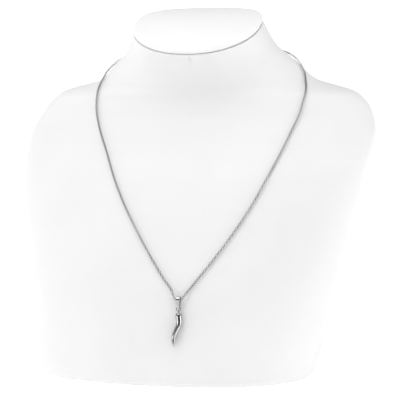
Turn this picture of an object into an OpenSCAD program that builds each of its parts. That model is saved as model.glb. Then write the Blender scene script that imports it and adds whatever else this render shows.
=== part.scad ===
// Horn pendant on a fine cable chain, shown on a covered neck display bust

/* [Bust] */
// Height of the bust up to the back of its neck
bust_height = 176; // [160:1:200]
// Width of the bust across its shoulders
bust_width = 190; // [172:1:220]
// Depth that the bust's sections are shares of
bust_depth = 120; // [108:1:140]
// How much lower the neck is cut at its front than at its back
neck_drop = 18.6; // [14:1:22]
// Squareness of the bust's sections, where 2 is a plain oval
bust_squareness = 2.2; // [2:0.1:2.6]
// Rounding of the bust's bottom edge
base_round = 2; // [1:0.5:3]
// Thickness of the covered cap on the neck
cap_height = 3.2; // [2:0.2:6]
// How far the cap stands in from the neck's edge
cap_inset = 0.4; // [0:0.1:1.5]

/* [Chain] */
// Outer diameter of the chain
chain_diameter = 1.4; // [1.2:0.1:1.6]

/* [Bail] */
// Width of the bail at its top
bail_width = 2.2; // [2:0.1:3]
// Width of the bail at its lower end
bail_end_width = 1.1; // [0.9:0.05:1.2]
// Height of the bail
bail_height = 6.1; // [5.5:0.1:8]
// Thickness of the bail's strap
bail_wall = 0.4; // [0.3:0.05:0.6]
// Inner diameter of the bail's round top
bail_bore = 2.3; // [2.3:0.1:3.2]
// Inner width of the bail's lower end
bail_end_bore = 0.9; // [0.8:0.05:1.1]

/* [Horn] */
// Length of the horn without its eye
horn_length = 16.6; // [14:0.2:26]
// Greatest width of the horn
horn_width = 3.1; // [2.6:0.1:4]
// Inner diameter of the eye on the horn
eye_bore = 0.9; // [0.8:0.05:1.2]
// Wire of the eye on the horn
eye_wire = 0.4; // [0.3:0.05:0.5]

/* [Rings and clasp] */
// Inner diameter of the ring between the bail and the horn
ring_bore = 1.75; // [1.7:0.05:2.4]
// Wire of the ring between the bail and the horn
ring_wire = 0.4; // [0.3:0.05:0.45]
// Outer diameter of the clasp's ring
clasp_diameter = 5.5; // [5:0.1:7]
// Thickness of the clasp's ring
clasp_tube = 1.1; // [0.9:0.1:1.3]
// Inner diameter of the eye on the clasp
clasp_eye_bore = 1.1; // [1:0.05:1.4]
// Wire of the eye on the clasp
clasp_eye_wire = 0.5; // [0.4:0.05:0.6]
// Inner diameter of the chain's end ring
end_ring_bore = 2; // [1.8:0.1:2.6]
// Wire of the chain's end ring
end_ring_wire = 0.5; // [0.4:0.05:0.6]

/* [Hidden] */

// Space between two pieces that rest on each other
seat_gap = 0.3;
// Space between two linked rings
link_gap = 0.12;

// Columns of a table of sections. Where the section is, as a share of the piece's length
AT = 0;
// bust: half width, share of half of bust_width
SIDE = 1;
// bust: place of the widest line, share of bust_depth behind the base's centre
MIDDLE = 2;
// bust: depth in front of that line, share of bust_depth
FRONT = 3;
// bust: depth behind that line, share of bust_depth
BACK = 4;
// horn: sideways place, share of its length
SWAY = 1;
// horn: half width, share of half of its greatest width
GIRTH = 2;
// bail: width, share of the way from its end's width to its top's
WIDENING = 1;

// Sections of the bust from its base up to the back of its neck
bust_rows = [
    [0.00, 0.765, -0.090, 0.305, 0.485],
    [0.10, 0.810, -0.030, 0.330, 0.460],
    [0.25, 0.875,  0.065, 0.360, 0.415],
    [0.40, 0.930,  0.155, 0.315, 0.345],
    [0.55, 0.975,  0.255, 0.260, 0.265],
    [0.65, 0.995,  0.385, 0.245, 0.225],
    [0.72, 0.950,  0.471, 0.250, 0.204],
    [0.77, 0.860,  0.499, 0.247, 0.198],
    [0.81, 0.626,  0.506, 0.245, 0.194],
    [0.86, 0.530,  0.489, 0.233, 0.196],
    [0.92, 0.424,  0.443, 0.204, 0.202],
    [1.00, 0.365,  0.385, 0.175, 0.215]
];
// Height share above which the slope of the neck's cut begins
cut_start = 0.72;
// Points round a section of the bust's skin, and the most steps up its side in bust_height
bust_points = 56;
bust_steps = 35;

// Route of the chain on the bust, from the back round the +X side down to the bail, and from there
// up the -X side to the back: height share, and angle round the bust from its front, in degrees
chain_right = [
    [0.880, 168.3], [0.882, 154.4], [0.884, 138.6], [0.885, 125.3], [0.882, 115.6], [0.877, 108.2],
    [0.869, 101], [0.857, 93.7], [0.842, 87.1], [0.826, 80], [0.810, 71.4], [0.794, 58.5],
    [0.779, 48.2], [0.763, 43.5], [0.746, 40.8], [0.720, 38.2], [0.671, 34.2], [0.610, 31.7],
    [0.550, 29.4], [0.480, 26.2], [0.410, 22], [0.350, 17.8], [0.290, 13.1], [0.262, 10.7]
];
chain_left = [
    [0.262, 5.1], [0.290, 2.3], [0.350, -2.4], [0.410, -7.4], [0.480, -13.1], [0.550, -18.2],
    [0.610, -22.7], [0.671, -28], [0.721, -32.9], [0.751, -35.9], [0.768, -38.2], [0.784, -43.8],
    [0.800, -56.1], [0.817, -68], [0.833, -78.4], [0.848, -87.5], [0.862, -94.5], [0.871, -101.4],
    [0.878, -109.3], [0.883, -119.4], [0.884, -131.1], [0.884, -142.8], [0.882, -155.5], [0.880, -168.3]
];
// Longest stretch between two rings of the chain's tube, as a share of its diameter
chain_step = 6.1;
chain_sides = 8;

// Where the pendant hangs: height share and angle of the chest there, and the height share of the
// chest behind the horn's tip
hang_height = 0.237;
hang_angle = 7.95;
tip_height = 0.10;
// Turn of the pendant in the chest's plane, its lower end towards +X, and bulge of the chest behind it
pendant_swing = 2.5;
chest_bulge = 0.25;
// Clearance between the chain and the top of the bail's bore
bail_clearance = 0.4;
// Widths of the bail's strap from its top down, and rounding of the strap's edges
bail_rows = [
    [0.000, 1.00],
    [0.270, 1.00],
    [0.380, 0.72],
    [0.550, 0.48],
    [0.800, 0.20],
    [0.925, 0.04],
    [1.000, 0.00]
];
strap_round = 0.08;

// Sections of the horn from its top
horn_rows = [
    [0.000,  0.000, 0.30],
    [0.012,  0.000, 0.62],
    [0.035,  0.001, 0.84],
    [0.075,  0.004, 0.97],
    [0.130,  0.010, 1.00],
    [0.270,  0.022, 0.95],
    [0.380,  0.008, 0.93],
    [0.490, -0.040, 0.90],
    [0.600, -0.092, 0.84],
    [0.710, -0.135, 0.77],
    [0.810, -0.152, 0.69],
    [0.900, -0.151, 0.58],
    [0.960, -0.148, 0.46],
    [0.988, -0.147, 0.30],
    [1.000, -0.147, 0.10]
];
horn_levels = 48;
horn_points = 24;
// Share of the eye's wire that is sunk into the horn
eye_sink = 0.4;

// Height share of the back of the neck where the clasp hangs
clasp_height = 0.880;

// Smooth reading of column c of a table at share s, with no overshoot between its rows
function rise(t, i, c) = (t[i + 1][c] - t[i][c]) / (t[i + 1][AT] - t[i][AT]);
function slope(t, i, c) =
    i == 0 ? rise(t, 0, c)
    : i == len(t) - 1 ? rise(t, i - 1, c)
    : rise(t, i - 1, c) * rise(t, i, c) <= 0 ? 0
    : 2 * rise(t, i - 1, c) * rise(t, i, c) / (rise(t, i - 1, c) + rise(t, i, c));
function row_at(t, s) = max([0, for (i = [0 : len(t) - 2]) if (t[i][AT] <= s) i]);
function blend(t, i, c, w, k) =
    (2 * k^3 - 3 * k^2 + 1) * t[i][c] + (k^3 - 2 * k^2 + k) * w * slope(t, i, c)
    + (3 * k^2 - 2 * k^3) * t[i + 1][c] + (k^3 - k^2) * w * slope(t, i + 1, c);
function read(t, s, c) =
    let (i = row_at(t, s), w = t[i + 1][AT] - t[i][AT])
    blend(t, i, c, w, (s - t[i][AT]) / w);

// Section of the bust at a height share, with the columns of its table in mm
function section(h) = [
    h,
    read(bust_rows, h, SIDE) * bust_width / 2,
    read(bust_rows, h, MIDDLE) * bust_depth,
    read(bust_rows, h, FRONT) * bust_depth,
    read(bust_rows, h, BACK) * bust_depth
];
function power(v, e) = sign(v) * pow(abs(v), e);
// Point of a section at an angle from the front, moved in by inset
function section_point(s, angle, inset = 0) =
    let (
        e = 2 / bust_squareness,
        depth = (cos(angle) > 0 ? s[FRONT] : s[BACK]) - inset,
        y = -depth * power(cos(angle), e),
        cut = max(0, (s[AT] - cut_start) / (1 - cut_start))^2,
        back = (s[BACK] - y) / (s[FRONT] + s[BACK])
    )
    [
        (s[SIDE] - inset) * power(sin(angle), e),
        s[MIDDLE] + y,
        s[AT] * bust_height - cut * neck_drop * back^2
    ];
function on_bust(h, angle) = section_point(section(h), angle);
function unit(v) = v / norm(v);
// Steps round and up the bust that its slope is read over
angle_step = 0.1;
height_step = 0.002;
function outward(h, angle) =
    let (
        round_it = on_bust(h, angle + angle_step) - on_bust(h, angle - angle_step),
        up_it = on_bust(h + height_step, angle) - on_bust(h - height_step, angle)
    )
    unit(cross(round_it, up_it));
function above_bust(h, angle, lift) = on_bust(h, angle) + lift * outward(h, angle);

// Closed skin over rings of points, each with as many points, from the first ring to the last, or
// right round a loop
module skin(rings, loop = false) {
    n = len(rings[0]);
    last = len(rings) - 1;
    polyhedron(
        points = [for (ring = rings, p = ring) p],
        faces = [
            if (!loop) [for (j = [0 : n - 1]) j],
            for (i = [0 : loop ? last : last - 1], j = [0 : n - 1])
                let (k = (j + 1) % n, a = i * n, b = (i + 1) % len(rings) * n)
                each [[a + j, b + j, b + k], [a + j, b + k, a + k]],
            if (!loop) [for (j = [n - 1 : -1 : 0]) last * n + j]
        ]
    );
}

// Torus round the Z axis, from its bore and its wire
module ring(bore, wire) rotate_extrude() translate([(bore + wire) / 2, 0]) circle(d = wire);

// Bust
// Shares of the neck's size at the rings of points across its top
top_rings = [0.75, 0.5, 0.25];
// Turns of the quarter circle along the bottom edge, and of the one along the cap's edge
base_turns = [0, 30, 60];
cap_turns = [0, 22.5, 45, 67.5, 90];
function steps_in_row(i) =
    let (
        a = bust_rows[i],
        b = bust_rows[i + 1],
        way = norm([(b[SIDE] - a[SIDE]) * bust_width / 2, (b[AT] - a[AT]) * bust_height])
    )
    ceil(way * bust_steps / bust_height);
function bust_ring(h, inset = 0) =
    let (s = section(h))
    [for (j = [0 : bust_points - 1]) section_point(s, 360 * j / bust_points, inset)];
function base_ring(turn) =
    let (z = base_round * (1 - cos(turn)))
    [for (p = bust_ring(z / bust_height, base_round * (1 - sin(turn)))) [p.x, p.y, z]];
// Ring of the neck's cut, drawn in to a share of its size and raised by lift
function cut_ring(share, lift, inset = 0) =
    let (s = section(1))
    [for (p = bust_ring(1, inset))
        let (y = share * (p.y - s[MIDDLE]), back = (s[BACK] - y) / (s[FRONT] + s[BACK]))
        [share * p.x, s[MIDDLE] + y, bust_height - neck_drop * back^2 + lift]];
// Small flat ring that closes a cut surface at its centre
centre_share = 0.02;
function centre_ring(lift) =
    let (height = section_point(section(1), 90).z + lift)
    [for (p = cut_ring(centre_share, lift)) [p.x, p.y, height]];

module bust() color("whitesmoke")
    skin([
        for (turn = base_turns) base_ring(turn),
        bust_ring(base_round / bust_height),
        for (i = [0 : len(bust_rows) - 2], n = steps_in_row(i), k = [1 : n])
            bust_ring(bust_rows[i][AT] + (bust_rows[i + 1][AT] - bust_rows[i][AT]) * k / n),
        for (share = top_rings) cut_ring(share, 0),
        centre_ring(0)
    ]);

// Covered cap on the neck's cut, with a rounded upper edge
cap_crown = 0.8;
cap_top = seat_gap + cap_height;
cap_edge = cap_height / 2;
module neck_cap() color("white")
    skin([
        centre_ring(seat_gap),
        for (i = [len(top_rings) - 1 : -1 : 0]) cut_ring(top_rings[i], seat_gap),
        cut_ring(1, seat_gap, cap_inset),
        for (turn = cap_turns)
            cut_ring(1, cap_top - cap_edge * (1 - sin(turn)), cap_inset + cap_edge * (1 - cos(turn))),
        for (share = top_rings) cut_ring(share, cap_top + cap_crown * (1 - share^2)),
        centre_ring(cap_top + cap_crown)
    ]);

// Place on the chest where the pendant hangs: X across it, Y into the chest and Z up along the pendant
hang_point = on_bust(hang_height, hang_angle);
tip_point = on_bust(tip_height, hang_angle);
chest_normal = outward((hang_height + tip_height) / 2, hang_angle);
hang_lean = atan2(hang_point.y - tip_point.y, hang_point.z - tip_point.z);
hang_turn = atan2(chest_normal.x, -chest_normal.y);
function turn_x(p, a) = [p.x, p.y * cos(a) - p.z * sin(a), p.y * sin(a) + p.z * cos(a)];
function turn_z(p, a) = [p.x * cos(a) - p.y * sin(a), p.x * sin(a) + p.y * cos(a), p.z];
function at_hang(p) = hang_point + turn_z(turn_x(p, -hang_lean), hang_turn);
module on_chest() translate(hang_point) rotate([-hang_lean, 0, hang_turn]) children();
// The chain's middle inside the bail, and the pendant's own line below it
hang_lift = max(bail_bore / 2 + bail_wall, horn_width / 2) + seat_gap + chest_bulge;
module pendant() on_chest() translate([0, -hang_lift, 0]) rotate([0, -pendant_swing, 0]) children();

// Bail, a strap bent into a loop with a round top, straight sides and a small round end
bail_top = bail_clearance + chain_diameter / 2 - bail_bore / 2;
bail_foot = bail_top + bail_bore / 2 + bail_wall - bail_height;
bail_end = bail_foot + bail_wall + bail_end_bore / 2;
top_radius = (bail_bore + bail_wall) / 2;
end_radius = (bail_end_bore + bail_wall) / 2;
// Turn of the strap from the top of the loop at which its straight sides begin
side_turn = acos((end_radius - top_radius) / (bail_top - bail_end));
// Place on the loop at a turn from its top: into the chest, up, and the turn itself
function on_top(turn) = [top_radius * sin(turn), bail_top + top_radius * cos(turn), turn];
function on_end(turn) = [end_radius * sin(turn), bail_end + end_radius * cos(turn), turn];
top_steps = 18;
side_steps = 5;
end_steps = 8;
bail_loop = [
    for (k = [0 : top_steps]) on_top(side_turn * (2 * k / top_steps - 1)),
    for (k = [1 : side_steps - 1], w = [k / side_steps])
        (1 - w) * on_top(side_turn) + w * on_end(side_turn),
    for (k = [0 : end_steps]) on_end(side_turn + (360 - 2 * side_turn) * k / end_steps),
    for (k = [1 : side_steps - 1], w = [k / side_steps])
        (1 - w) * on_end(-side_turn) + w * on_top(-side_turn)
];
function bail_half_width(level) =
    let (share = (bail_foot + bail_height - level) / bail_height)
    (bail_end_width + (bail_width - bail_end_width) * read(bail_rows, share, WIDENING)) / 2;
function strap_ring(place) =
    let (
        out = [0, sin(place[2]), cos(place[2])],
        middle = [0, place[0], place[1]],
        w = bail_half_width(place[1]),
        h = bail_wall / 2,
        r = strap_round,
        right = [[h, w - r], [h - r, w], [r - h, w], [-h, w - r]],
        left = [[-h, r - w], [r - h, -w], [h - r, -w], [h, r - w]]
    )
    [for (c = concat(right, left)) middle + c[0] * out + c[1] * [1, 0, 0]];
module bail() color("silver") pendant() skin([for (place = bail_loop) strap_ring(place)], loop = true);

// Ring that hangs on the two lower corners of the bail's bore
ring_radius = ring_bore / 2;
bail_corner = bail_half_width(bail_foot + bail_wall);
ring_level = bail_foot + bail_wall - sqrt((ring_radius - link_gap)^2 - bail_corner^2);
module jump_ring() color("silver") pendant()
    translate([0, 0, ring_level]) rotate([90, 0, 0]) ring(ring_bore, ring_wire);

// Horn, one casting with its eye
eye_level = ring_level - ring_radius + link_gap - eye_bore / 2;
horn_top = eye_level - eye_bore / 2 - eye_wire * (1 - eye_sink);
function horn_centre(s) = [read(horn_rows, s, SWAY) * horn_length, 0, horn_top - s * horn_length];
function horn_ring(i) =
    let (
        s = i / horn_levels,
        near = 1 / (2 * horn_levels),
        run = unit(horn_centre(min(1, s + near)) - horn_centre(max(0, s - near))),
        across = [-run.z, 0, run.x],
        radius = read(horn_rows, s, GIRTH) * horn_width / 2
    )
    [for (j = [0 : horn_points - 1], turn = [360 * j / horn_points])
        horn_centre(s) + radius * (sin(turn) * across - cos(turn) * [0, 1, 0])];
module horn() color("silver") pendant() {
    skin([for (i = [horn_levels : -1 : 0]) horn_ring(i)]);
    translate([0, 0, eye_level]) rotate([0, 90, 0]) ring(eye_bore, eye_wire);
}

// Place on the back of the neck where the clasp hangs: X as the bust's, Y away from the neck
clasp_point = on_bust(clasp_height, 180);
clasp_normal = outward(clasp_height, 180);
clasp_tilt = atan2(clasp_normal.z, clasp_normal.y);
clasp_lift = end_ring_bore / 2 + end_ring_wire + seat_gap;
function at_nape(p) = clasp_point + turn_x(p, clasp_tilt);
module on_nape() translate(clasp_point) rotate([clasp_tilt, 0, 0]) translate([0, clasp_lift, 0]) children();

// Clasp, one plain piece: a ring with a fixed eye and a thumb peg
// The peg's diameter, its reach past the ring and its turn from the ring's top
peg_diameter = clasp_tube * 0.7;
peg_reach = 0.9;
peg_angle = 50;
clasp_eye_width = clasp_eye_bore + 2 * clasp_eye_wire;
clasp_eye_place = clasp_diameter / 2 + clasp_eye_width / 2 - clasp_eye_wire / 2;
module clasp() color("silver") on_nape() {
    rotate([90, 0, 0]) ring(clasp_diameter - 2 * clasp_tube, clasp_tube);
    translate([-clasp_eye_place, 0, 0]) rotate([90, 0, 0]) ring(clasp_eye_bore, clasp_eye_wire);
    rotate([0, peg_angle, 0]) translate([0, 0, (clasp_diameter - clasp_tube) / 2])
        cylinder(h = clasp_tube / 2 + peg_reach, d = peg_diameter);
}

// Ring at the chain's other end, hooked into the clasp
end_ring_place = (clasp_diameter - clasp_tube) / 2 + end_ring_bore / 2 - clasp_tube / 2 - link_gap;
module end_ring() color("silver") on_nape()
    translate([end_ring_place, 0, 0]) ring(end_ring_bore, end_ring_wire);

// Chain, a tube along its route from the end ring round the bust and through the bail to the clasp's eye
chain_lift = chain_diameter / 2 + seat_gap;
chain_start = end_ring_place + end_ring_bore / 2 + end_ring_wire + seat_gap;
chain_finish = clasp_eye_place + clasp_eye_width / 2 + seat_gap;
// Places of the chain beside the bail: across from its middle there as a share of bail_width, and up
// from it as a share of chain_diameter
beside_bail = [[1.14, 1.04], [0.61, 0.07]];
function past_bail(side, p) = at_hang([side * p[0] * bail_width, -hang_lift, p[1] * chain_diameter]);
chain_route = [
    at_nape([chain_start, clasp_lift, 0]),
    for (row = chain_right) above_bust(row[0], row[1], chain_lift),
    for (p = beside_bail) past_bail(1, p),
    at_hang([0, -hang_lift, 0]),
    for (i = [len(beside_bail) - 1 : -1 : 0]) past_bail(-1, beside_bail[i]),
    for (row = chain_left) above_bust(row[0], row[1], chain_lift),
    at_nape([-chain_finish, clasp_lift, 0])
];
route_last = len(chain_route) - 1;
function heading(i) = unit(chain_route[min(i + 1, route_last)] - chain_route[max(i - 1, 0)]);
function between(i, k) =
    let (a = chain_route[i], b = chain_route[i + 1], run = norm(b - a))
    (2 * k^3 - 3 * k^2 + 1) * a + (k^3 - 2 * k^2 + k) * run * heading(i)
    + (3 * k^2 - 2 * k^3) * b + (k^3 - k^2) * run * heading(i + 1);
function steps_between(i) = ceil(norm(chain_route[i + 1] - chain_route[i]) / (chain_step * chain_diameter));
chain_line = [
    chain_route[0],
    for (i = [0 : route_last - 1], n = steps_between(i), k = [1 : n]) between(i, k / n)
];
line_last = len(chain_line) - 1;
// A point well inside the bust, so that the way from it to the chain is never along the chain
heart_share = 0.6;
bust_heart = [0, section(heart_share)[MIDDLE], heart_share * bust_height];
function chain_ring(i) =
    let (
        run = unit(chain_line[min(i + 1, line_last)] - chain_line[max(i - 1, 0)]),
        across = unit(cross(run, chain_line[i] - bust_heart)),
        over = cross(run, across)
    )
    [for (j = [0 : chain_sides - 1], turn = [360 * j / chain_sides])
        chain_line[i] + chain_diameter / 2 * (cos(turn) * across + sin(turn) * over)];
module chain() color("silver") skin([for (i = [0 : line_last]) chain_ring(i)]);

bust();
neck_cap();
chain();
bail();
jump_ring();
horn();
clasp();
end_ring();
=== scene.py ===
import math

import bpy
import numpy as np
from mathutils import Matrix, Vector


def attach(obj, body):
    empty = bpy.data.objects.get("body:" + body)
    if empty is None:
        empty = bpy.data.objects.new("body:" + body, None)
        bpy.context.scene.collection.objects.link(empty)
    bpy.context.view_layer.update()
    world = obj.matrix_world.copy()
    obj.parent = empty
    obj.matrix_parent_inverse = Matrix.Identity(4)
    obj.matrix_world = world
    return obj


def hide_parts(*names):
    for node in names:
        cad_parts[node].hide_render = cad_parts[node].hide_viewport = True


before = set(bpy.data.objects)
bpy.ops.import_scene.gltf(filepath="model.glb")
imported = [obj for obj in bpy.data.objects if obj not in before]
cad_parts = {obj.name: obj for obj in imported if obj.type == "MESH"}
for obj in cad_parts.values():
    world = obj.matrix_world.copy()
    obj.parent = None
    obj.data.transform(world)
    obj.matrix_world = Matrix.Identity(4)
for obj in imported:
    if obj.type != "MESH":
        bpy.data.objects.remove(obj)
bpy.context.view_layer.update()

MM = 0.001


def toward(azimuth, elevation):
    # Way out from the bust, in degrees: azimuth counts from its front round to +X
    a, e = math.radians(azimuth), math.radians(elevation)
    return Vector((math.sin(a) * math.cos(e), -math.cos(a) * math.cos(e), math.sin(e)))


# Camera, placed as the photograph's. SPAN is the picture's width at the aim, and the shifts are in
# pixels of a picture that is 400 wide
AZIMUTH, ELEVATION, ROLL = 18, 8, -1.5
AIM, DISTANCE, SPAN = Vector((0, 0.046, 0.088)), 1.1, 0.212
SENSOR, PICTURE, SHIFT_X, SHIFT_Y = 36, 400, -1.37, -16.54
back = toward(AZIMUTH, ELEVATION)
camera_data = bpy.data.cameras.new("camera")
camera = bpy.data.objects.new("camera", camera_data)
bpy.context.scene.collection.objects.link(camera)
camera_data.sensor_width = SENSOR
camera_data.lens = SENSOR * DISTANCE / SPAN
camera_data.shift_x = SHIFT_X / PICTURE
camera_data.shift_y = SHIFT_Y / PICTURE
camera_data.clip_start, camera_data.clip_end = 0.05, 100
camera.location = AIM + DISTANCE * back
facing = (-back).to_track_quat("-Z", "Y").to_matrix().to_4x4()
camera.rotation_mode = "QUATERNION"
camera.rotation_quaternion = (facing @ Matrix.Rotation(math.radians(ROLL), 4, "Z")).to_quaternion()
bpy.context.scene.camera = camera

# Sizes in mm and tables of sections, as in the part's source
BUST_HEIGHT, BUST_WIDTH, BUST_DEPTH, NECK_DROP = 176, 190, 120, 18.6
SQUARENESS, BASE_ROUND, CAP_HEIGHT, CAP_INSET, CAP_CROWN = 2.2, 2.0, 3.2, 0.4, 0.8
CHAIN, SEAT, LINK_GAP = 1.4, 0.3, 0.12
BAIL_WIDTH, BAIL_END_WIDTH, BAIL_HEIGHT, BAIL_WALL = 2.2, 1.1, 6.1, 0.4
BAIL_BORE, BAIL_END_BORE, BAIL_CLEARANCE = 2.3, 0.9, 0.4
HORN_LENGTH, HORN_WIDTH, EYE_BORE, EYE_WIRE, EYE_SINK = 16.6, 3.1, 0.9, 0.4, 0.4
RING_BORE, RING_WIRE = 1.75, 0.4
CLASP, CLASP_TUBE, CLASP_EYE_BORE, CLASP_EYE_WIRE = 5.5, 1.1, 1.1, 0.5
END_BORE, END_WIRE = 2.0, 0.5
CUT_START = 0.72
# Bust: height, half width, then its middle, front and rear as shares of the depth
BUST_ROWS = np.array([
    [0.00, 0.765, -0.090, 0.305, 0.485],
    [0.10, 0.810, -0.030, 0.330, 0.460],
    [0.25, 0.875, 0.065, 0.360, 0.415],
    [0.40, 0.930, 0.155, 0.315, 0.345],
    [0.55, 0.975, 0.255, 0.260, 0.265],
    [0.65, 0.995, 0.385, 0.245, 0.225],
    [0.72, 0.950, 0.471, 0.250, 0.204],
    [0.77, 0.860, 0.499, 0.247, 0.198],
    [0.81, 0.626, 0.506, 0.245, 0.194],
    [0.86, 0.530, 0.489, 0.233, 0.196],
    [0.92, 0.424, 0.443, 0.204, 0.202],
    [1.00, 0.365, 0.385, 0.175, 0.215],
])
# The chain's way down each side of the bust, from the nape to the bail: height and angle
CHAIN_RIGHT = [
    (0.880, 168.3), (0.882, 154.4), (0.884, 138.6), (0.885, 125.3), (0.882, 115.6), (0.877, 108.2),
    (0.869, 101), (0.857, 93.7), (0.842, 87.1), (0.826, 80), (0.810, 71.4), (0.794, 58.5),
    (0.779, 48.2), (0.763, 43.5), (0.746, 40.8), (0.720, 38.2), (0.671, 34.2), (0.610, 31.7),
    (0.550, 29.4), (0.480, 26.2), (0.410, 22), (0.350, 17.8), (0.290, 13.1), (0.262, 10.7),
]
CHAIN_LEFT = [
    (0.262, 5.1), (0.290, 2.3), (0.350, -2.4), (0.410, -7.4), (0.480, -13.1), (0.550, -18.2),
    (0.610, -22.7), (0.671, -28), (0.721, -32.9), (0.751, -35.9), (0.768, -38.2), (0.784, -43.8),
    (0.800, -56.1), (0.817, -68), (0.833, -78.4), (0.848, -87.5), (0.862, -94.5), (0.871, -101.4),
    (0.878, -109.3), (0.883, -119.4), (0.884, -131.1), (0.884, -142.8), (0.882, -155.5),
    (0.880, -168.3),
]
BESIDE_BAIL = [(1.14, 1.04), (0.61, 0.07)]
HANG_HEIGHT, HANG_ANGLE, TIP_HEIGHT, SWING, BULGE = 0.237, 7.95, 0.10, 2.5, 0.25
# Bail: share of its height, share of the way from its lower to its upper width
BAIL_ROWS = np.array([
    [0, 1], [0.27, 1], [0.38, 0.72], [0.55, 0.48], [0.8, 0.2], [0.925, 0.04], [1, 0],
])
# Horn: share of its length, way to the side, share of its greatest radius
HORN_ROWS = np.array([
    [0.000, 0.000, 0.30], [0.012, 0.000, 0.62], [0.035, 0.001, 0.84], [0.075, 0.004, 0.97],
    [0.130, 0.010, 1.00], [0.270, 0.022, 0.95], [0.380, 0.008, 0.93], [0.490, -0.040, 0.90],
    [0.600, -0.092, 0.84], [0.710, -0.135, 0.77], [0.810, -0.152, 0.69], [0.900, -0.151, 0.58],
    [0.960, -0.148, 0.46], [0.988, -0.147, 0.30], [1.000, -0.147, 0.10],
])
CLASP_HEIGHT = 0.880


# Reading of the tables and of the bust's surface
def read(table, s, column):
    x, y = table[:, 0], table[:, column]
    d = np.diff(y) / np.diff(x)
    m = np.concatenate([[d[0]], np.zeros(len(x) - 2), [d[-1]]])
    for i in range(1, len(x) - 1):
        if d[i - 1] * d[i] > 0:
            m[i] = 2 * d[i - 1] * d[i] / (d[i - 1] + d[i])
    i = int(np.clip(np.searchsorted(x, s, side="right") - 1, 0, len(x) - 2))
    w = x[i + 1] - x[i]
    k = (s - x[i]) / w
    return (
        (2 * k**3 - 3 * k**2 + 1) * y[i] + (k**3 - 2 * k**2 + k) * w * m[i]
        + (3 * k**2 - 2 * k**3) * y[i + 1] + (k**3 - k**2) * w * m[i + 1]
    )


def section(h):
    return (
        h,
        read(BUST_ROWS, h, 1) * BUST_WIDTH / 2,
        read(BUST_ROWS, h, 2) * BUST_DEPTH,
        read(BUST_ROWS, h, 3) * BUST_DEPTH,
        read(BUST_ROWS, h, 4) * BUST_DEPTH,
    )


def section_point(s, angle, inset=0.0):
    h, side, middle, front, rear = s
    e = 2 / SQUARENESS
    c, t = math.cos(math.radians(angle)), math.sin(math.radians(angle))
    depth = (front if c > 0 else rear) - inset
    y = -depth * math.copysign(abs(c) ** e, c)
    cut = max(0.0, (h - CUT_START) / (1 - CUT_START)) ** 2
    share = (rear - y) / (front + rear)
    return np.array([
        (side - inset) * math.copysign(abs(t) ** e, t),
        middle + y,
        h * BUST_HEIGHT - cut * NECK_DROP * share**2,
    ])


def on_bust(h, angle):
    return section_point(section(h), angle)


def unit(v):
    return v / np.linalg.norm(v)


def outward(h, angle):
    round_it = on_bust(h, angle + 0.1) - on_bust(h, angle - 0.1)
    up_it = on_bust(h + 0.002, angle) - on_bust(h - 0.002, angle)
    return unit(np.cross(round_it, up_it))


def cos_sin(degrees):
    a = math.radians(degrees)
    return math.cos(a), math.sin(a)


def turn_x(p, degrees):
    c, s = cos_sin(degrees)
    return np.array([p[0], p[1] * c - p[2] * s, p[1] * s + p[2] * c])


def turn_y(p, degrees):
    c, s = cos_sin(degrees)
    return np.array([p[0] * c + p[2] * s, p[1], -p[0] * s + p[2] * c])


def turn_z(p, degrees):
    c, s = cos_sin(degrees)
    return np.array([p[0] * c - p[1] * s, p[0] * s + p[1] * c, p[2]])


# Meshes. Each is in the row frame, in metres
def mesh_object(name, points, faces, smooth_angle=40):
    mesh = bpy.data.meshes.new(name)
    mesh.from_pydata((np.asarray(points, float) * MM).tolist(), [], faces)
    mesh.update()
    mesh.shade_smooth()
    mesh.set_sharp_from_angle(angle=math.radians(smooth_angle))
    obj = bpy.data.objects.new(name, mesh)
    bpy.context.scene.collection.objects.link(obj)
    return obj


def skin(rings, loop=False):
    n = len(rings[0])
    points = [p for ring in rings for p in ring]
    faces = []
    for i in range(len(rings) if loop else len(rings) - 1):
        a, b = i * n, (i + 1) % len(rings) * n
        faces += [[a + j, b + j, b + (j + 1) % n, a + (j + 1) % n] for j in range(n)]
    if not loop:
        faces += [list(range(n)), [(len(rings) - 1) * n + j for j in range(n - 1, -1, -1)]]
    return points, faces


def joined(parts):
    points, faces = [], []
    for p, f in parts:
        start = len(points)
        points += list(p)
        faces += [[start + i for i in face] for face in f]
    return points, faces


def placed(part, place):
    return [place(np.asarray(p, float)) for p in part[0]], part[1]


def torus(radius, wire, steps=64, sides=16, start=0.0, end=360.0):
    whole = end - start >= 360
    rings = []
    for i in range(steps if whole else steps + 1):
        a = math.radians(start + (end - start) * i / steps)
        out = np.array([math.cos(a), math.sin(a), 0])
        rings.append([
            radius * out + wire / 2 * (math.cos(t) * out + math.sin(t) * np.array([0, 0, 1.0]))
            for t in (-2 * math.pi * j / sides for j in range(sides))
        ])
    return skin(rings, loop=whole)


# Bust, a smooth covered form. Its columns are closer together at the small pucker below the lip,
# and its rows where its width changes fast
PUCKER, PUCKER_HALF, PUCKER_REACH, PUCKER_DROP = 2.3, 6, 7, 12
SOFT_FOLDS = ((0.22, 1.7, 0.9), (0.2, -1.8, 1.0), (-0.22, -3.6, 1.0))
ROW_STEP, LOOK_AHEAD, LAST_ROW, CUT_EDGE = 0.0095, 0.006, 0.985, 0.3
wide = np.arange(0, 360, 1.6)
close = np.arange(PUCKER - PUCKER_HALF, PUCKER + PUCKER_HALF + 0.01, 0.25) % 360
angles = sorted(set(np.round(wide, 3)) | set(np.round(close, 3)))
heights = [BASE_ROUND / BUST_HEIGHT]
while heights[-1] < LAST_ROW - 0.001:
    h = heights[-1]
    steep = abs(read(BUST_ROWS, min(h + LOOK_AHEAD, 1), 1) - read(BUST_ROWS, h, 1)) / LOOK_AHEAD
    heights.append(min(h + ROW_STEP / math.sqrt(1 + (0.55 * steep) ** 2), LAST_ROW))
heights += [0.989, 0.993]


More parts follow.
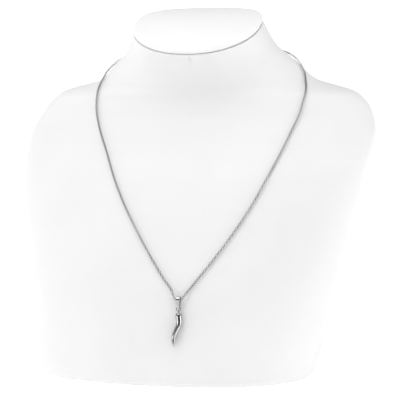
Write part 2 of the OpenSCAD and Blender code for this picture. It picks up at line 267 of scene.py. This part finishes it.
def from_pucker(angle):
    return (angle - PUCKER + 180) % 360 - 180


def bell(x, middle, width):
    return math.exp(-(((x - middle) / width) ** 2))


def pucker(down, angle):
    # Gathered crease of the covering under the lip: a short sharp fold and softer ones beside it
    across, fade = from_pucker(angle), min(1.0, down / 0.5)
    depth = -0.75 * fade * bell(down, 1.9, 1.5) * bell(across, 0, 0.75)
    for rise, middle, width in SOFT_FOLDS:
        depth += rise * fade * bell(down, 0, 4.5) * bell(across, middle, width)
    return depth


def bust_ring(h, inset=0.0):
    s = section(h)
    ring = []
    for a in angles:
        p = section_point(s, a, inset)
        down = BUST_HEIGHT - NECK_DROP - p[2]
        if abs(from_pucker(a)) < PUCKER_REACH and 0 < down < PUCKER_DROP:
            p = p + pucker(down, a) * unit(np.array([p[0], p[1] - s[2], 0.0]))
        ring.append(p)
    return ring


def cut_ring(share, lift, inset=0.0):
    s = section(1)
    ring = []
    for a in angles:
        p = section_point(s, a, inset)
        y = share * (p[1] - s[2])
        rear = (s[4] - y) / (s[3] + s[4])
        ring.append(np.array([share * p[0], s[2] + y, BUST_HEIGHT - NECK_DROP * rear**2 + lift]))
    return ring


def quarter(step, end=91):
    # Quarter round in steps of so many degrees: 1 - cosine and 1 - sine of each
    for degrees in range(0, end, step):
        c, s = cos_sin(degrees)
        yield 1 - c, 1 - s


base, base_middle = bust_ring(0, BASE_ROUND), np.array([0, section(0)[2], 0])
inner = (0.02, 0.3, 0.6, 0.85, 0.95)
rings = [[base_middle + share * (p - base_middle) for p in base] for share in inner]
for c, s in quarter(15, 90):
    z = BASE_ROUND * c
    ring = bust_ring(z / BUST_HEIGHT, BASE_ROUND * s)
    rings.append([np.array([p[0], p[1], z]) for p in ring])
rings += [bust_ring(h) for h in heights]
rings += [cut_ring(1, -CUT_EDGE * s, CUT_EDGE * c) for c, s in quarter(18)]
rings += [cut_ring(share, 0, CUT_EDGE) for share in (0.93, 0.8, 0.6, 0.4, 0.2, 0.02)]
bust = mesh_object("bust_covering", *skin(rings), smooth_angle=60)

# Cap on the neck: covered board with soft edges, tucked in below and crowned a little
CAP_TOP, CAP_EDGE, CAP_FOOT, CAP_TUCK, COVER = SEAT + CAP_HEIGHT, 1.3, 1.9, 1.0, 0.3
cap_side = CAP_INSET - COVER
rings = [cut_ring(share, SEAT, CAP_INSET) for share in inner]
rings += [cut_ring(1, SEAT + CAP_FOOT * c, cap_side + CAP_TUCK * s) for c, s in quarter(18)]
rings += [cut_ring(1, CAP_TOP - CAP_EDGE * s, cap_side + CAP_EDGE * c) for c, s in quarter(9)]
for share in (0.97, 0.92, 0.84, 0.74, 0.62, 0.5, 0.38, 0.26, 0.14, 0.02):
    lift = CAP_TOP + CAP_CROWN * (1 - share**2)
    rings.append(cut_ring(share, lift, (cap_side + CAP_EDGE) * share))
cap = mesh_object("cap_covering", *skin(rings), smooth_angle=60)

# Place of the pendant on the chest
hang_point, tip_point = on_bust(HANG_HEIGHT, HANG_ANGLE), on_bust(TIP_HEIGHT, HANG_ANGLE)
chest = outward((HANG_HEIGHT + TIP_HEIGHT) / 2, HANG_ANGLE)
HANG_LEAN = math.degrees(math.atan2(hang_point[1] - tip_point[1], hang_point[2] - tip_point[2]))
HANG_TURN = math.degrees(math.atan2(chest[0], -chest[1]))
HANG_LIFT = max(BAIL_BORE / 2 + BAIL_WALL, HORN_WIDTH / 2) + SEAT + BULGE


def at_hang(p):
    return hang_point + turn_z(turn_x(p, -HANG_LEAN), HANG_TURN)


def pendant(p):
    return at_hang(np.array([0, -HANG_LIFT, 0]) + turn_y(p, -SWING))


# Bail: a strap bent into a loop, with soft edges
BAIL_EDGE, TOP_STEPS, LEG_STEPS, END_STEPS = 0.12, 40, 12, 20
bail_top = BAIL_CLEARANCE + CHAIN / 2 - BAIL_BORE / 2
bail_foot = bail_top + BAIL_BORE / 2 + BAIL_WALL - BAIL_HEIGHT
bail_end = bail_foot + BAIL_WALL + BAIL_END_BORE / 2
top_r, end_r = (BAIL_BORE + BAIL_WALL) / 2, (BAIL_END_BORE + BAIL_WALL) / 2
side_turn = math.degrees(math.acos((end_r - top_r) / (bail_top - bail_end)))


def on_arc(radius, level, degrees):
    # Point of the strap's middle line, with the angle that it faces
    c, s = cos_sin(degrees)
    return np.array([radius * s, level + radius * c, degrees])


def on_top(degrees):
    return on_arc(top_r, bail_top, degrees)


def on_end(degrees):
    return on_arc(end_r, bail_end, degrees)


def leg(start, end):
    return [(1 - k / LEG_STEPS) * start + k / LEG_STEPS * end for k in range(1, LEG_STEPS)]


def bail_half_width(level):
    share = np.clip((bail_foot + BAIL_HEIGHT - level) / BAIL_HEIGHT, 0, 1)
    return (BAIL_END_WIDTH + (BAIL_WIDTH - BAIL_END_WIDTH) * read(BAIL_ROWS, share, 1)) / 2


def strap_ring(place):
    y, level, degrees = place
    c, s = cos_sin(degrees)
    out, across, middle = np.array([0, s, c]), np.array([1.0, 0, 0]), np.array([0, y, level])
    w, h, r = bail_half_width(level), BAIL_WALL / 2, BAIL_EDGE
    corners = ((w - r, h - r, 0), (r - w, h - r, 90), (r - w, r - h, 180), (w - r, r - h, 270))
    ring = []
    for cx, cy, first in corners:
        for t in (0, 30, 60, 90):
            c, s = cos_sin(first + t)
            ring.append(middle + (cy + r * s) * out + (cx + r * c) * across)
        if first in (0, 180):
            # Points that keep the broad faces flat
            face = middle + math.copysign(h, cy) * out
            ring += [face + share * cx * across for share in (0.75, -0.75)]
    return ring[::-1]


loop = [on_top(side_turn * (2 * k / TOP_STEPS - 1)) for k in range(TOP_STEPS + 1)]
loop += leg(on_top(side_turn), on_end(side_turn))
loop += [
    on_end(side_turn + (360 - 2 * side_turn) * k / END_STEPS) for k in range(END_STEPS + 1)
]
loop += leg(on_end(-side_turn), on_top(-side_turn))
strap = skin([strap_ring(p) for p in loop], loop=True)
bail = mesh_object("bail_strap", *placed(strap, pendant))

# Jump ring, closed butt to butt with a hairline joint
JOINT_START, JOINT_END = 201, 559
ring_radius = RING_BORE / 2
corner = bail_half_width(bail_foot + BAIL_WALL)
ring_level = bail_foot + BAIL_WALL - math.sqrt((ring_radius - LINK_GAP) ** 2 - corner**2)


def jump_place(p):
    return pendant(turn_x(p, 90) + np.array([0, 0, ring_level]))


wire = torus((RING_BORE + RING_WIRE) / 2, RING_WIRE, 72, 18, JOINT_START, JOINT_END)
jump = mesh_object("jump_ring_wire", *placed(wire, jump_place))

# Horn, a smooth S with a blunt tip, and its eye
HORN_LEVELS, HORN_SIDES = 110, 48
eye_level = ring_level - ring_radius + LINK_GAP - EYE_BORE / 2
horn_top = eye_level - EYE_BORE / 2 - EYE_WIRE * (1 - EYE_SINK)


def horn_centre(s):
    return np.array([read(HORN_ROWS, s, 1) * HORN_LENGTH, 0, horn_top - s * HORN_LENGTH])


rings = []
for i in range(HORN_LEVELS, -1, -1):
    s = i / HORN_LEVELS
    run = unit(horn_centre(min(1, s + 0.004)) - horn_centre(max(0, s - 0.004)))
    across = np.array([-run[2], 0, run[0]])
    radius = read(HORN_ROWS, s, 2) * HORN_WIDTH / 2
    rings.append([
        horn_centre(s) + radius * (math.sin(t) * across - math.cos(t) * np.array([0, 1.0, 0]))
        for t in (2 * math.pi * j / HORN_SIDES for j in range(HORN_SIDES))
    ])
eye = placed(
    torus((EYE_BORE + EYE_WIRE) / 2, EYE_WIRE, 40, 16),
    lambda p: turn_y(p, 90) + np.array([0, 0, eye_level]),
)
casting = joined([skin(rings), eye])
horn = mesh_object("horn_casting", *placed(casting, pendant), smooth_angle=70)

# Clasp and end ring behind the neck
nape_point, nape = on_bust(CLASP_HEIGHT, 180), outward(CLASP_HEIGHT, 180)
NAPE_TILT = math.degrees(math.atan2(nape[2], nape[1]))
NAPE_LIFT = END_BORE / 2 + END_WIRE + SEAT


def at_nape(p):
    return nape_point + turn_x(np.asarray(p, float) + np.array([0, NAPE_LIFT, 0]), NAPE_TILT)


eye_width = CLASP_EYE_BORE + 2 * CLASP_EYE_WIRE
eye_place = CLASP / 2 + eye_width / 2 - CLASP_EYE_WIRE / 2
body = placed(torus((CLASP - CLASP_TUBE) / 2, CLASP_TUBE, 88, 22), lambda p: turn_x(p, 90))
clasp_eye = placed(
    torus((CLASP_EYE_BORE + CLASP_EYE_WIRE) / 2, CLASP_EYE_WIRE, 48, 14),
    lambda p: turn_x(p, 90) + np.array([-eye_place, 0, 0]),
)
PEG_SIDES, PEG_TURN = 24, 50
peg_r, peg_end = CLASP_TUBE * 0.35, CLASP_TUBE / 2 + 0.9
profile = [
    (0.02, 0), (peg_r, 0), (peg_r, peg_end - 0.12), (peg_r - 0.04, peg_end - 0.03),
    (peg_r - 0.12, peg_end), (0.02, peg_end),
]
peg_turns = [-2 * math.pi * j / PEG_SIDES for j in range(PEG_SIDES)]
peg = skin([
    [np.array([r * math.cos(t), -r * math.sin(t), z]) for t in peg_turns] for r, z in profile
])
peg = placed(peg, lambda p: turn_y(p + np.array([0, 0, (CLASP - CLASP_TUBE) / 2]), PEG_TURN))
clasp = mesh_object("clasp_body", *placed(joined([body, clasp_eye, peg]), at_nape))
end_place = (CLASP - CLASP_TUBE) / 2 + END_BORE / 2 - CLASP_TUBE / 2 - LINK_GAP
wire = torus((END_BORE + END_WIRE) / 2, END_WIRE, 56, 16)
end_ring = mesh_object(
    "end_ring_wire", *placed(wire, lambda p: at_nape(p + np.array([end_place, 0, 0])))
)

# Chain of linked oval rings along the tube's own route
LINK_BORE, LINK_WIRE, LINK_WIDE, LINK_PITCH, LINK_PLAY = 1.26, 0.3, 1.4, 1.222, 0.05
LINK_STEPS, LINK_SIDES, ROUTE_STEPS = 14, 6, 24
LIFT = CHAIN / 2 + SEAT
start = end_place + END_BORE / 2 + END_WIRE + SEAT
finish = eye_place + eye_width / 2 + SEAT


def past_bail(side, p):
    return at_hang(np.array([side * p[0] * BAIL_WIDTH, -HANG_LIFT, p[1] * CHAIN]))


route = [at_nape([start, 0, 0])]
route += [on_bust(*row) + LIFT * outward(*row) for row in CHAIN_RIGHT]
route += [past_bail(1, p) for p in BESIDE_BAIL]
route += [at_hang(np.array([0, -HANG_LIFT, 0]))]
route += [past_bail(-1, p) for p in BESIDE_BAIL[::-1]]
route += [on_bust(*row) + LIFT * outward(*row) for row in CHAIN_LEFT]
route += [at_nape([-finish, 0, 0])]
last = len(route) - 1
heading = [unit(route[min(i + 1, last)] - route[max(i - 1, 0)]) for i in range(last + 1)]
line = []
for i in range(last):
    a, b = route[i], route[i + 1]
    run = np.linalg.norm(b - a)
    for step in range(ROUTE_STEPS):
        k = step / ROUTE_STEPS
        line.append(
            (2 * k**3 - 3 * k**2 + 1) * a + (k**3 - 2 * k**2 + k) * run * heading[i]
            + (3 * k**2 - 2 * k**3) * b + (k**3 - k**2) * run * heading[i + 1]
        )
line.append(route[last])
first_link = at_nape([end_place + END_BORE / 2 - LINK_PLAY + LINK_BORE / 2, 0, 0])
last_link = at_nape([-(eye_place + CLASP_EYE_BORE / 2 - LINK_PLAY + LINK_BORE / 2), 0, 0])
line = np.array([first_link] + line + [last_link])
length = np.concatenate([[0], np.cumsum(np.linalg.norm(np.diff(line, axis=0), axis=1))])
count = 2 * round(length[-1] / LINK_PITCH / 2)


def at_length(s):
    return np.array([np.interp(s, length, line[:, c]) for c in range(3)])


# Oval link: its straight sides along the chain, its ends round
link_rings = []
straight, bend = (LINK_BORE + 2 * LINK_WIRE - LINK_WIDE) / 2, (LINK_WIDE - LINK_WIRE) / 2
for j in range(LINK_STEPS):
    a = 2 * math.pi * (j + 0.5) / LINK_STEPS
    out = np.array([math.cos(a), math.sin(a), 0])
    middle = bend * out + np.array([math.copysign(straight, math.cos(a)), 0, 0])
    link_rings.append([
        middle + LINK_WIRE / 2 * (math.cos(t) * out + math.sin(t) * np.array([0, 0, 1.0]))
        for t in (-2 * math.pi * k / LINK_SIDES for k in range(LINK_SIDES))
    ])
link_points, link_faces = skin(link_rings, loop=True)
link_points = np.array(link_points)

# Each link is turned a quarter from the one before, with a slow drift and a little play that
# fade over the links next to the clasp and the end ring
SWAY, SWAY_LENGTH, DRIFT, DRIFT_SHARE, PLAY, FADE_LINKS = 18, 23, 3.0, 0.35, 5, 12
heart = np.array([0, section(0.6)[2], 0.6 * BUST_HEIGHT])
rng = np.random.default_rng(7)
drift = np.cumsum(rng.normal(0, DRIFT, count))
points, faces = [], []
for i in range(count):
    s = length[-1] * i / (count - 1)
    p = at_length(s)
    run = unit(at_length(min(s + 0.6, length[-1])) - at_length(max(s - 0.6, 0)))
    away = p - heart
    away = unit(away - away.dot(run) * run)
    side = np.cross(away, run)
    hold = min(1.0, min(i, count - 1 - i) / FADE_LINKS)
    play = SWAY * math.sin(i / SWAY_LENGTH) + drift[i] * DRIFT_SHARE + rng.normal(0, PLAY)
    twist = math.radians(90 * (i % 2) + hold * play)
    flat = math.cos(twist) * side + math.sin(twist) * away
    face = np.cross(run, flat)
    start_index = len(points) * len(link_points)
    points.append(p + link_points @ np.array([run, flat, face]))
    faces += [[start_index + v for v in f] for f in link_faces]
chain = mesh_object("chain_links", np.vstack(points), faces, smooth_angle=80)


# Materials
def material(name):
    m = bpy.data.materials.new(name)
    m.use_nodes = True
    nodes, links = m.node_tree.nodes, m.node_tree.links
    nodes.clear()
    out = nodes.new("ShaderNodeOutputMaterial")
    shader = nodes.new("ShaderNodeBsdfPrincipled")
    links.new(shader.outputs["BSDF"], out.inputs["Surface"])
    place = nodes.new("ShaderNodeTexCoord").outputs["Object"]
    return m, nodes, links, shader, place


def noise(nodes, links, place, scale, detail=2.0, roughness=0.5):
    n = nodes.new("ShaderNodeTexNoise")
    n.inputs["Scale"].default_value = scale
    n.inputs["Detail"].default_value = detail
    n.inputs["Roughness"].default_value = roughness
    links.new(place, n.inputs["Vector"])
    return n.outputs["Fac"]


def spread(nodes, links, value, low, high):
    r = nodes.new("ShaderNodeMapRange")
    r.inputs["To Min"].default_value, r.inputs["To Max"].default_value = low, high
    links.new(value, r.inputs["Value"])
    return r.outputs["Result"]


def ramp(nodes, links, value, stops):
    r = nodes.new("ShaderNodeValToRGB")
    for i, (at, grey) in enumerate(stops):
        e = r.color_ramp.elements[i] if i < 2 else r.color_ramp.elements.new(at)
        e.position, e.color = at, (grey, grey, grey, 1)
    links.new(value, r.inputs["Fac"])
    return r.outputs["Color"]


def bump(nodes, links, height, strength, distance, below=None):
    b = nodes.new("ShaderNodeBump")
    b.inputs["Strength"].default_value = strength
    b.inputs["Distance"].default_value = distance
    links.new(height, b.inputs["Height"])
    if below is not None:
        links.new(below, b.inputs["Normal"])
    return b.outputs["Normal"]


def leatherette(name, tone):
    # Fine pebble grain with hair-thin creases between the pebbles, and a little unevenness below it
    m, nodes, links, shader, place = material(name)
    pebbles = nodes.new("ShaderNodeTexVoronoi")
    pebbles.feature = "DISTANCE_TO_EDGE"
    pebbles.inputs["Scale"].default_value = 1500
    warp = nodes.new("ShaderNodeVectorMath")
    warp.operation = "MULTIPLY_ADD"
    soft = nodes.new("ShaderNodeTexNoise")
    soft.inputs["Scale"].default_value = 900
    links.new(place, soft.inputs["Vector"])
    links.new(soft.outputs["Color"], warp.inputs[0])
    warp.inputs[1].default_value = (0.0005, 0.0005, 0.0005)
    links.new(place, warp.inputs[2])
    links.new(warp.outputs["Vector"], pebbles.inputs["Vector"])
    creases = spread(nodes, links, pebbles.outputs["Distance"], 0, 1)
    grain = bump(nodes, links, creases, 0.7, 0.00015)
    waves = noise(nodes, links, place, 60, 3)
    links.new(bump(nodes, links, waves, 0.12, 0.0008, grain), shader.inputs["Normal"])
    clouds = noise(nodes, links, place, 22, 4)
    shades = [(0.3, tone - 0.012), (0.7, tone + 0.012)]
    links.new(ramp(nodes, links, clouds, shades), shader.inputs["Base Color"])
    wear = noise(nodes, links, place, 300, 3)
    links.new(spread(nodes, links, wear, 0.42, 0.56), shader.inputs["Roughness"])
    shader.inputs["Specular IOR Level"].default_value = 0.4
    return m


def silver(name, tone, low, high, scratch=0.05):
    # Polished metal: faint wiping marks in its roughness, and a trace of waviness from casting
    m, nodes, links, shader, place = material(name)
    shader.inputs["Metallic"].default_value = 1.0
    clouds = noise(nodes, links, place, 700, 4)
    shades = [(0.3, tone * 0.93), (0.6, tone)]
    links.new(ramp(nodes, links, clouds, shades), shader.inputs["Base Color"])
    wiping = noise(nodes, links, place, 2500, 5, 0.7)
    links.new(spread(nodes, links, wiping, low, high), shader.inputs["Roughness"])
    waves = noise(nodes, links, place, 900, 3)
    links.new(bump(nodes, links, waves, scratch, 0.0001), shader.inputs["Normal"])
    return m


bust.data.materials.append(leatherette("bust_leatherette", 0.66))
# The cap's covering is lighter than the bust's although it is the same leatherette: painted light,
# so that the cap's top reads white under the light from above
cap.data.materials.append(leatherette("cap_leatherette", 0.72))
# The chain's silver is darker than the clasp's: painted shade for the shadowed gaps and dark
# outlines of its links
chain.data.materials.append(silver("chain_silver", 0.34, 0.16, 0.28))
bail.data.materials.append(silver("bail_silver", 0.42, 0.10, 0.18))
# The jump ring's silver is darker than the bail's and the horn's: painted shade
jump.data.materials.append(silver("jump_ring_silver", 0.32, 0.10, 0.18))
horn.data.materials.append(silver("horn_silver", 0.43, 0.06, 0.13, 0.03))
clasp.data.materials.append(silver("clasp_silver", 0.44, 0.10, 0.18))
end_ring.data.materials.append(silver("end_ring_silver", 0.44, 0.10, 0.18))

# Every piece stands for its solid and rides on the one body
for piece, node, slot in (
    (bust, "bust", "bust_covering"),
    (cap, "neck_cap", "cap_covering"),
    (chain, "chain", "chain_silver"),
    (bail, "bail", "bail_silver"),
    (jump, "jump_ring", "ring_silver"),
    (horn, "horn", "horn_silver"),
    (clasp, "clasp", "clasp_silver"),
    (end_ring, "end_ring", "ring_silver"),
):
    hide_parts(node)
    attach(piece, "root")

# Plain pale floor and soft studio light
FLOOR_HALF, FLOOR_GLOW = 60000, 0.42
corners = [[FLOOR_HALF * x, FLOOR_HALF * y, 0] for x, y in ((-1, -1), (1, -1), (1, 1), (-1, 1))]
floor = mesh_object("floor", corners, [[0, 1, 2, 3]])
paper, nodes, links, shader, place = material("floor_paper")
clouds = noise(nodes, links, place, 3, 2)
links.new(ramp(nodes, links, clouds, [(0.3, 0.95), (0.7, 0.97)]), shader.inputs["Base Color"])
shader.inputs["Roughness"].default_value = 0.9
shader.inputs["Emission Color"].default_value = (1, 1, 1, 1)
shader.inputs["Emission Strength"].default_value = FLOOR_GLOW
floor.data.materials.append(paper)

# Room, from the horizon up: its brightness against the sine of the elevation
ROOM = [
    (0.0, 1.2), (0.07, 1.2), (0.13, 0.42), (0.44, 0.46),
    (0.55, 0.22), (0.66, 0.22), (0.8, 1.2), (1.0, 1.7),
]
ROOM_LEVEL, DARK = 0.80, 0.12
world = bpy.data.worlds.new("world")
bpy.context.scene.world = world
world.use_nodes = True
nodes, links = world.node_tree.nodes, world.node_tree.links
sky = nodes["Background"]
parts = nodes.new("ShaderNodeSeparateXYZ")
direction = nodes.new("ShaderNodeTexCoord").outputs["Generated"]
links.new(direction, parts.inputs["Vector"])
room = ramp(nodes, links, parts.outputs["Z"], ROOM)


def darker(room, azimuth, elevation, full, edge):
    # A darker part of the room in front of the bust, which gives the polished silver its dark
    # streaks: dark within the angle full of its middle, and as bright as the rest beyond edge
    nearness = nodes.new("ShaderNodeVectorMath")
    nearness.operation = "DOT_PRODUCT"
    links.new(direction, nearness.inputs[0])
    nearness.inputs[1].default_value = toward(azimuth, elevation)
    stops = [(cos_sin(edge)[0], 1.0), (cos_sin(full)[0], DARK)]
    both = nodes.new("ShaderNodeMix")
    both.data_type, both.blend_type = "RGBA", "MULTIPLY"
    both.inputs["Factor"].default_value = 1.0
    links.new(room, both.inputs["A"])
    links.new(ramp(nodes, links, nearness.outputs["Value"], stops), both.inputs["B"])
    return both.outputs["Result"]


room = darker(darker(room, 0, 22, 14, 21), 46, 20, 13, 19)
links.new(room, sky.inputs["Color"])
sky.inputs["Strength"].default_value = ROOM_LEVEL


def light(name, kind, power, place, aim, mirrored):
    # A light that isn't mirrored gives soft light alone
    obj = bpy.data.objects.new(name, bpy.data.lights.new(name, kind))
    bpy.context.scene.collection.objects.link(obj)
    obj.data.energy = power
    obj.visible_glossy = mirrored
    obj.location = place
    obj.rotation_mode = "QUATERNION"
    obj.rotation_quaternion = (Vector(aim) - Vector(place)).to_track_quat("-Z", "Y")
    return obj.data


LIGHT_AIM = Vector((0, 0.02, 0.08))
for name, azimuth, elevation, distance, width, height, power, mirrored in (
    ("left_light", -80, 14, 1.5, 1.0, 1.0, 6.4, False),
    ("right_light", 66, 22, 1.5, 1.0, 1.0, 4.4, False),
    ("left_strip", -40, 10, 1.4, 0.78, 0.22, 1.8, True),
    ("right_strip", 86, 8, 1.3, 0.6, 0.6, 4.0, True),
    ("top_strip", -45, 68, 1.5, 0.7, 0.7, 4.2, True),
):
    place = LIGHT_AIM + distance * toward(azimuth, elevation)
    box = light(name, "AREA", power, place, LIGHT_AIM, mirrored)
    box.shape, box.size, box.size_y = "RECTANGLE", width, height
for name, power, mirrored in (("top_light", 0.25, True), ("soft_top_light", 0.65, False)):
    sun = light(name, "SUN", power, (-0.8, -0.7, 3.0), (0, 0, 0), mirrored)
    sun.angle = math.radians(70)

bpy.context.scene.view_settings.view_transform = "Standard"
